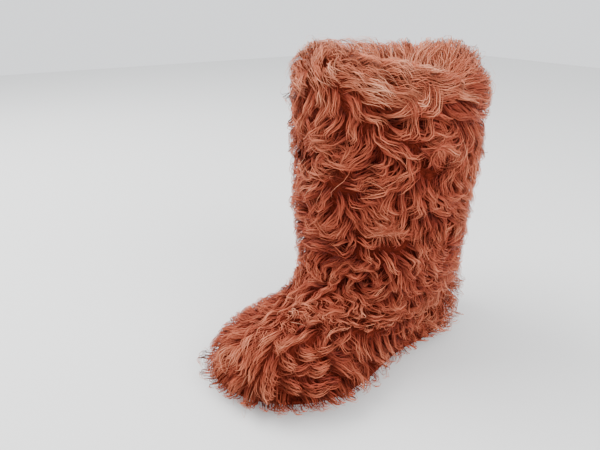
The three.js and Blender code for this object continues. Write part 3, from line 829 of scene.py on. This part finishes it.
def strand_facts(tree, given, locks, lock):
    """What each strand keeps of its lock and of itself: a name, a value and a kind."""
    own = result(tree, "GeometryNodeInputIndex")
    flat = stored(tree, "flat", "FLOAT_VECTOR")
    lay = stored(tree, "lay", "FLOAT_VECTOR")
    stretch = stored(tree, "stretch", "FLOAT_VECTOR")
    lock_length = of_lock(tree, locks, lock, stored(tree, "hair_length"))
    lock_calm = of_lock(tree, locks, lock, stored(tree, "calm"))
    lock_place = of_lock(tree, locks, lock, result(tree, "GeometryNodeInputPosition"), "FLOAT_VECTOR")
    length = strand_length(tree, given, lock_length, own, lock)
    stray = chance(tree, "stray", own).apply("LESS_THAN", given["Stray"])
    wisp = chance(tree, "wisp", own).apply("LESS_THAN", given["Wisp Share"]) * (stray * -1.0 + 1.0)
    curl = waves(tree, lock_place, CURL_WAVES["scale"]) * CURL_WAVES["turns"]
    bend = waves(tree, lock_place + BEND_WAVES["shift"], BEND_WAVES["scale"])
    bend = bend * BEND_WAVES["reach"] - BEND_WAVES["reach"] / 2
    wisp_width = wisp * (given["Wisp Width"] - 1.0) + 1.0
    calm_width = stored(tree, "calm") * -CALM_THINNER + 1.0
    return [
        ("own_flat", flat, "FLOAT_VECTOR"),
        ("lock_flat", of_lock(tree, locks, lock, flat, "FLOAT_VECTOR"), "FLOAT_VECTOR"),
        ("lock_lay", of_lock(tree, locks, lock, lay, "FLOAT_VECTOR"), "FLOAT_VECTOR"),
        ("lock_stretch", of_lock(tree, locks, lock, stretch, "FLOAT_VECTOR"), "FLOAT_VECTOR"),
        ("strand_length", length * (stray * STRAY_LONGER + 1.0), "FLOAT"),
        ("stray", stray, "FLOAT"),
        ("phase", curl + chance(tree, "lock_phase", lock) + chance(tree, "strand_phase", own), "FLOAT"),
        ("bend", bend + chance(tree, "lock_bend", lock) + stray * chance(tree, "stray_bend", own),
         "FLOAT"),
        ("tall", chance(tree, "lock_height", lock) * chance(tree, "strand_height", own), "FLOAT"),
        ("patches_and_painted_light", of_lock(tree, locks, lock, stored(tree, "patches_and_painted_light")), "FLOAT"),
        ("lock_shade", chance(tree, "lock_shade", lock), "FLOAT"),
        ("strand_shade", chance(tree, "strand_shade", own), "FLOAT"),
        ("thick", chance(tree, "strand_thickness", own) * wisp_width * calm_width, "FLOAT"),
        ("lively", lock_calm * -1.0 + 1.0, "FLOAT"),
        ("frizz", chance(tree, "frizz", own) * given["Frizz"], "FLOAT"),
    ]


def lines_at(tree, given, strands):
    """A line of points for each strand, which knows how far along it each point is."""
    line = result(tree, "GeometryNodeCurvePrimitiveLine", Start=(0, 0, 0), End=(0, 0, 1))
    line = result(tree, "GeometryNodeResampleCurve", Curve=line, Count=given["Rings"])
    hairs = result(tree, "GeometryNodeInstanceOnPoints", Points=strands, Instance=line)
    hairs = result(tree, "GeometryNodeRealizeInstances", Geometry=hairs)
    return store(tree, hairs, "along", result(tree, "GeometryNodeSplineParameter"))


def curled_strands(tree, given, hairs):
    """Lays the strands along the coat, gathers them into their locks and curls them."""
    t = stored(tree, "along")
    loose = stored(tree, "stray") * -1.0 + 1.0
    lively = stored(tree, "lively")
    own_flat = stored(tree, "own_flat", "FLOAT_VECTOR")
    lock_flat = stored(tree, "lock_flat", "FLOAT_VECTOR")
    stretch = stored(tree, "lock_stretch", "FLOAT_VECTOR")
    lay_round, lay_up, _ = parts_of(tree, stored(tree, "lock_lay", "FLOAT_VECTOR"))
    frizz = stored(tree, "frizz") * (lively * -LIVELY_LESS_FRIZZ + 1.0)
    bend = (stored(tree, "bend") * lively + frizz) * t
    cosine, sine = bend.apply("COSINE"), bend.apply("SINE")
    along = arrow_of(tree, lay_round * cosine - lay_up * sine, lay_round * sine + lay_up * cosine)
    along_round, along_up, _ = parts_of(tree, along)
    aside = arrow_of(tree, along_up * -1.0, along_round)
    curl = (given["Curl Turns"] * t + stored(tree, "phase")) * (2 * math.pi)
    swing_left = lively * (1.0 - CALM_SWING) + CALM_SWING
    swing = curl.apply("SINE") * given["Curl Width"] * (t ** SWING_EASE) * swing_left
    travel = stored(tree, "strand_length") * (t ** TRAVEL_EASE)
    gather_left = lively * (1.0 - CALM_GATHER) + CALM_GATHER
    gathered = (lock_flat - own_flat) * (given["Gather"] * (t ** GATHER_EASE) * loose * gather_left)
    where = own_flat + gathered + (along * travel + aside * swing).apply("DIVIDE", stretch)
    at_round, at_up, _ = parts_of(tree, where)
    at_up = at_up.apply("MAXIMUM", given["Lowest"]).apply("MINIMUM", given["Highest"])
    where = arrow_of(tree, at_round, at_up)

    def of_coat(name):
        """What the coat stores at the strand's flat place."""
        return result(tree, "GeometryNodeSampleUVSurface", {"data_type": "FLOAT_VECTOR"},
                      Mesh=given["Coat"], Value=stored(tree, name, "FLOAT_VECTOR"),
                      UV_Map=stored(tree, "flat", "FLOAT_VECTOR"), Sample_UV=where)

    mass, ground = of_coat("mass"), of_coat("hide")
    outward = mass.apply("NORMALIZE")
    apart = (own_flat - lock_flat) * stretch
    share_apart = (apart.apply("LENGTH") / given["Locks Apart"]).apply("MINIMUM", 1.0)
    crown = (share_apart ** 2.0) * -EDGE_DROP * loose * lively + 1.0
    top = stored(tree, "tall") * crown * (stored(tree, "stray") * STRAY_HIGHER + 1.0)
    height = given["Root Height"] + (t * ARCH).apply("SINE") * (top - given["Root Height"])
    roll = outward * (curl.apply("COSINE") * given["Curl Width"] * t * CURL_LIFT)
    x, y, z = parts_of(tree, ground + mass * height + roll)
    position = arrow_of(tree, x, y, z.apply("MAXIMUM", SKIRT_LOW * MM))
    hairs = result(tree, "GeometryNodeSetPosition", Geometry=hairs, Position=position)
    # The depth darkens hair that lies low in the coat: a painted shade
    hairs = store(tree, hairs, "depth", height)
    # The edge darkens the sides of each lock: a painted shade between locks
    hairs = store(tree, hairs, "edge", share_apart * loose * lively)
    across_lock = result(tree, "GeometryNodeInputTangent").apply("CROSS_PRODUCT", outward)
    sideways = apart.apply("DOT_PRODUCT", aside) / given["Locks Apart"] * loose
    away = outward - across_lock * (sideways * LOCK_ROUNDNESS)
    hairs = store(tree, hairs, "away", away.apply("NORMALIZE"), "FLOAT_VECTOR")
    return result(tree, "GeometryNodeSetCurveNormal", {"mode": "FREE"}, Curve=hairs, Normal=outward)


def strand_tubes(tree, given, hairs):
    """Gives the strands a flattened body that tapers to its tip."""
    ring = result(tree, "GeometryNodeCurvePrimitiveCircle", Resolution=STRAND_SIDES, Radius=1.0)
    ring_x, ring_y, _ = parts_of(tree, result(tree, "GeometryNodeInputPosition"))
    ring = store(tree, ring, "across", ring_y)
    ring = result(tree, "GeometryNodeSetPosition", Geometry=ring,
                  Position=arrow_of(tree, ring_x * STRAND_FLATNESS, ring_y))
    taper = (stored(tree, "along") ** TAPER_EASE) * -TAPER + 1.0
    width = given["Strand Width"] * stored(tree, "thick") * taper
    return result(tree, "GeometryNodeCurveToMesh", Curve=hairs, Profile_Curve=ring, Scale=width,
                  Fill_Caps=True)


def hair_tree():
    """Grows hair on a coat: strands gathered into curling locks that lie along the coat."""
    tree = bpy.data.node_groups.new("hair_locks", "GeometryNodeTree")
    tree.interface.new_socket("Coat", in_out="INPUT", socket_type="NodeSocketGeometry")
    tree.interface.new_socket("Hair", in_out="OUTPUT", socket_type="NodeSocketGeometry")
    for name, kind, default in HAIR_INPUTS:
        made = tree.interface.new_socket(name, in_out="INPUT", socket_type=kind)
        if default is not None:
            made.default_value = default
    given = group_inputs(tree)
    locks, lock, strands = hair_roots(tree, given)
    for name, value, kind in strand_facts(tree, given, locks, lock):
        strands = store(tree, strands, name, value, kind)
    hairs = curled_strands(tree, given, lines_at(tree, given, strands))
    made = strand_tubes(tree, given, hairs)
    made = result(tree, "GeometryNodeSetShadeSmooth", Geometry=made, Shade_Smooth=True)
    made = result(tree, "GeometryNodeRealizeInstances", Geometry=made)
    made = result(tree, "GeometryNodeSetMaterial", Geometry=made, Material=given["Hair"])
    connect(tree, made, tree.nodes.new("NodeGroupOutput").inputs["Hair"])
    return tree


def grow(panel, tree, **inputs):
    """Grows the hair of one panel and leaves it as a plain mesh."""
    ground = coat_mesh(panel)
    modifier = ground.modifiers.new("hair", "NODES")
    modifier.node_group = tree
    sockets = {s.name: s.identifier for s in tree.interface.items_tree if s.in_out == "INPUT"}
    for name, value in inputs.items():
        modifier[sockets[name]] = value
    ready = ground.evaluated_get(bpy.context.evaluated_depsgraph_get())
    mesh = bpy.data.meshes.new_from_object(ready)
    mesh.name = panel["name"]
    spare = [a.name for a in mesh.attributes if a.data_type in ("FLOAT", "FLOAT_VECTOR")]
    for name in spare:
        if name != "position" and name not in HAIR_FACTS_KEPT:
            mesh.attributes.remove(mesh.attributes[name])
    piece = bpy.data.objects.new(panel["name"], mesh)
    bpy.context.scene.collection.objects.link(piece)
    bpy.data.objects.remove(ground)
    return piece


# Finishes
def plain_material(name, color, roughness):
    """A material of one colour, with its tree and its shader."""
    material = bpy.data.materials.new(name)
    material.use_nodes = True
    shader = material.node_tree.nodes["Principled BSDF"]
    shader.inputs["Base Color"].default_value = (*color, 1)
    shader.inputs["Roughness"].default_value = roughness
    return material, material.node_tree, shader


def fact(tree, name, kind="Fac"):
    """A value that the mesh stores for each of its points."""
    node = tree.nodes.new("ShaderNodeAttribute")
    node.attribute_name = name
    return Value(tree, node.outputs[kind])


def color_ramp(tree, tone, stops):
    """A colour for each tone, between stops of a position and a colour."""
    node = tree.nodes.new("ShaderNodeValToRGB")
    connect(tree, tone, node.inputs["Fac"])
    elements = node.color_ramp.elements
    while len(elements) < len(stops):
        elements.new(0.5)
    for element, (position, color) in zip(elements, stops):
        element.position = position
        element.color = (*color, 1)
    return Value(tree, node.outputs["Color"])


def strand_fibres(tree):
    """The fine hairs that each strand stands for, as streaks along it with a crimp."""
    along, shade = fact(tree, "along"), fact(tree, "strand_shade")
    crimp = (along * CRIMP["along"] + shade * CRIMP["shift"]).apply("SINE") * CRIMP["depth"]
    across = fact(tree, "across") * fact(tree, "thick") * FIBRES["across"] + crimp
    across = across + shade * FIBRES["shift"]
    place = arrow_of(tree, across * FIBRES["stretch"], along * FIBRES["stretch"])
    return result(tree, "ShaderNodeTexNoise", {"noise_dimensions": "2D"},
                  Vector=place, Scale=FIBRES["scale"], Detail=FIBRES["detail"])


def hair_finish():
    """Cinnamon hair: dark at its root and paler at its tip, and no two locks quite alike, with a
    painted shade low in the coat, between locks and in hollows, and a painted light on the rim and the
    swells.
    """
    material, tree, shader = plain_material("hair", HAIR_COLORS[1][1], HAIR_ROUGHNESS)
    shader.inputs["Specular IOR Level"].default_value = HAIR_GLOSS
    fibres = strand_fibres(tree)
    # Patches, the painted light of the rim and the swells, and the painted shade of the hollows
    tone = fact(tree, "patches_and_painted_light") + ROOT_TONE
    # Its depth darkens hair that lies low in the coat, a painted shade
    for name, weight in TONES_AND_PAINTED_SHADE.items():
        tone = tone + fact(tree, name) * weight
    # The sides of each lock are darker: a painted shade between locks
    tone = tone - fact(tree, "edge") ** 2.0 * PAINTED_GAP_SHADE
    tone = tone + (fibres - 0.5) * FIBRE_CONTRAST
    connect(tree, color_ramp(tree, tone, HAIR_COLORS), shader.inputs["Base Color"])
    normal = result(tree, "ShaderNodeBump", Strength=FIBRE_BUMP["strength"],
                    Distance=FIBRE_BUMP["distance"], Height=fibres)
    away = fact(tree, "away", "Vector")
    normal = (normal * (1.0 - SOFTNESS) + away * SOFTNESS).apply("NORMALIZE")
    connect(tree, normal, shader.inputs["Normal"])
    return material


def undercoat_finish():
    """The short dense wool under the long hair, dark as a painted shade deep in the coat: streaks that
    lie as the hair does, in tufts.
    """
    material, tree, shader = plain_material("undercoat", UNDERCOAT_PAINTED_SHADE_COLORS[1][1], UNDERCOAT_ROUGHNESS)
    shader.inputs["Specular IOR Level"].default_value = 0.0
    place = fact(tree, "wool_place", "Vector")
    tufts = add_node(tree, "ShaderNodeTexVoronoi", {"voronoi_dimensions": "2D"},
                     Vector=place, Scale=TUFTS_PER_MM)
    from_middle = place - Value(tree, tufts.outputs["Position"])
    lay = fact(tree, "wool_lay", "Vector")
    lay_round, lay_up, _ = parts_of(tree, lay)
    aside = arrow_of(tree, lay_up * -1.0, lay_round)
    streak = arrow_of(tree, from_middle.apply("DOT_PRODUCT", aside) * WOOL["across"],
                      from_middle.apply("DOT_PRODUCT", lay) * WOOL["along"])
    shade = Value(tree, tufts.outputs["Color"])
    wool = result(tree, "ShaderNodeTexNoise", {"noise_dimensions": "3D"},
                  Vector=streak + shade * WOOL["shift"], Scale=WOOL["scale"], Detail=WOOL["detail"])
    # Each tuft is darker towards its edge, a painted shade between tufts, and raised in its middle by
    # the bump
    edge = Value(tree, tufts.outputs["Distance"])
    tone = wool * WOOL_TONE_AND_PAINTED_SHADE["wool"] + WOOL_TONE_AND_PAINTED_SHADE["base"] + edge * WOOL_TONE_AND_PAINTED_SHADE["edge"]
    # Patches, the painted light of the rim and the swells, and the painted shade of the hollows
    tone = tone + fact(tree, "patches_and_painted_light") * WOOL_TONE_AND_PAINTED_SHADE["patches_and_painted_light"]
    connect(tree, color_ramp(tree, tone, UNDERCOAT_PAINTED_SHADE_COLORS), shader.inputs["Base Color"])
    normal = result(tree, "ShaderNodeBump", Strength=WOOL_BUMP["strength"],
                    Distance=WOOL_BUMP["distance"], Height=tone)
    connect(tree, normal, shader.inputs["Normal"])
    return material


def nap_group():
    """The nap that fleece, hide and rubber share: a mottle between two colours, and a fine grain."""
    tree = bpy.data.node_groups.new("nap", "ShaderNodeTree")
    sockets = [
        ("Place", "INPUT", "NodeSocketVector"),
        ("Dark", "INPUT", "NodeSocketColor"),
        ("Light", "INPUT", "NodeSocketColor"),
        ("Grains", "INPUT", "NodeSocketFloat"),
        ("Depth", "INPUT", "NodeSocketFloat"),
        ("Color", "OUTPUT", "NodeSocketColor"),
        ("Normal", "OUTPUT", "NodeSocketVector"),
    ]
    for name, way, kind in sockets:
        tree.interface.new_socket(name, in_out=way, socket_type=kind)
    given = group_inputs(tree)
    fine = result(tree, "ShaderNodeTexNoise",
                  Vector=given["Place"], Scale=given["Grains"], Detail=3.0)
    broad = result(tree, "ShaderNodeTexNoise",
                   Vector=given["Place"], Scale=NAP_MOTTLE, Detail=2.0)
    tone = fine * NAP_TONE["fine"] + broad * NAP_TONE["broad"]
    share = result(tree, "ShaderNodeMapRange",
                   Value=tone, From_Min=NAP_TONE["dark"], From_Max=NAP_TONE["light"])
    color = result(tree, "ShaderNodeMix", {"data_type": "RGBA"},
                   Factor=share, A=given["Dark"], B=given["Light"])
    normal = result(tree, "ShaderNodeBump",
                    Strength=NAP_BUMP, Distance=given["Depth"], Height=fine)
    leave = tree.nodes.new("NodeGroupOutput")
    connect(tree, color, leave.inputs["Color"])
    connect(tree, normal, leave.inputs["Normal"])
    return tree


def napped(name, group):
    """A finish with a nap, from its entry in the table."""
    nap = NAPS[name]
    material, tree, shader = plain_material(name, nap["light"], nap["rough"])
    shader.inputs["Specular IOR Level"].default_value = NAP_GLOSS
    place = Value(tree, tree.nodes.new("ShaderNodeTexCoord").outputs["Object"])
    node = add_node(tree, "ShaderNodeGroup", {"node_tree": group},
                    Place=place, Dark=(*nap["dark"], 1), Light=(*nap["light"], 1),
                    Grains=1 / nap["grain"], Depth=nap["depth"])
    connect(tree, Value(tree, node.outputs["Color"]), shader.inputs["Base Color"])
    connect(tree, Value(tree, node.outputs["Normal"]), shader.inputs["Normal"])
    return material


# The pieces
def hair_panels():
    """The long hair, in place of the three fur solids."""
    hair = hair_finish()
    tree = hair_tree()
    for panel in PANELS:
        piece = grow(panel, tree, Hair=hair, Seed=HAIR_SEED,
                     Lowest=LOWEST_HAIR * MM, Highest=HIGHEST_HAIR * MM)
        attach(piece, "root")
        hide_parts(panel["node"])


def undercoat():
    """The short wool under the long hair, as a closed layer."""
    angle, up, row, point, mass = coat_grid(0, AROUND)
    outside = point + mass * UNDERCOAT_SHARE
    piece = shell("undercoat", outside, point + mass * UNDERCOAT_FOOT, undercoat_finish())
    zero = np.zeros_like(angle)
    stored_values = {
        "wool_place": np.stack([angle * LAY_GIRTH, up, zero], -1),
        "wool_lay": np.concatenate([lay_of(angle, up), zero[..., None]], -1),
        "patches_and_painted_light": painted_light_and_patches(angle, up, row)[..., None],
    }
    for name, values in stored_values.items():
        add_attribute(piece.data, name, np.concatenate([values, values[:, ::-1]], 1))
    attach(piece, "root")


def fleece_lining(fleece):
    """The short fleece inside the upper, from above the footbed to under the rim."""
    angles = np.arange(AROUND) * 2 * math.pi / AROUND
    rows = np.linspace(*LINING_ROWS, LINING_RINGS)
    angle, row = np.meshgrid(angles, rows, indexing="ij")
    point = hide_point(angle, row)
    wrapped = np.concatenate([point[-1:], point, point[:1]], 0)
    outward = normals_of(wrapped)[1:-1]
    outside = point - outward * (WALL + LINING_GAP)
    inside = point - outward * (WALL + LINING_GAP + LINING_THICK)
    piece = shell("fleece_lining", outside, inside, fleece)
    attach(piece, "root")


def sole_and_upper(fleece, group):
    """Finishes for the solids that stay as they are."""
    finishes = {"outsole": napped("rubber", group), "insole": fleece, "upper": napped("hide", group)}
    for node, material in finishes.items():
        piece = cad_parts[node]
        piece.data.materials.clear()
        piece.data.materials.append(material)


# The floor, the light and the camera
def floor():
    """A plain pale floor."""
    material, _, _ = plain_material("floor", FLOOR_COLOR, FLOOR_ROUGHNESS)
    half = FLOOR_SIZE / 2
    corners = [(-half, -half, 0), (half, -half, 0), (half, half, 0), (-half, half, 0)]
    new_piece("floor", corners, [(0, 1, 2, 3)], material)


def soft_light(name, place, size, watts):
    """A broad light that faces the boot."""
    data = bpy.data.lights.new(name, "AREA")
    data.size = size
    data.energy = watts
    light = bpy.data.objects.new(name, data)
    light.location = place
    facing = Vector(LIGHT_AIM) - Vector(place)
    light.rotation_euler = facing.to_track_quat("-Z", "Y").to_euler()
    bpy.context.scene.collection.objects.link(light)


def room_light():
    """The even light of the room."""
    world = bpy.data.worlds.new("room")
    world.use_nodes = True
    background = world.node_tree.nodes["Background"]
    background.inputs["Color"].default_value = (*ROOM_COLOR, 1)
    background.inputs["Strength"].default_value = ROOM_STRENGTH
    bpy.context.scene.world = world


def camera():
    """The camera, at the photograph's place."""
    data = bpy.data.cameras.new("camera")
    data.sensor_width = SENSOR_WIDTH
    data.lens = FOCAL_PIXELS / PICTURE_WIDTH * SENSOR_WIDTH
    data.clip_start = NEAREST_SEEN
    item = bpy.data.objects.new("camera", data)
    item.location = in_frame(CAMERA_AT)
    item.rotation_euler = (math.pi / 2 - CAMERA_TILT, 0, CAMERA_TURN)
    bpy.context.scene.collection.objects.link(item)
    bpy.context.scene.camera = item


nap = nap_group()
fleece_finish = napped("fleece", nap)
hair_panels()
undercoat()
fleece_lining(fleece_finish)
sole_and_upper(fleece_finish, nap)
floor()
for light in LIGHTS:
    soft_light(**light)
room_light()
camera()
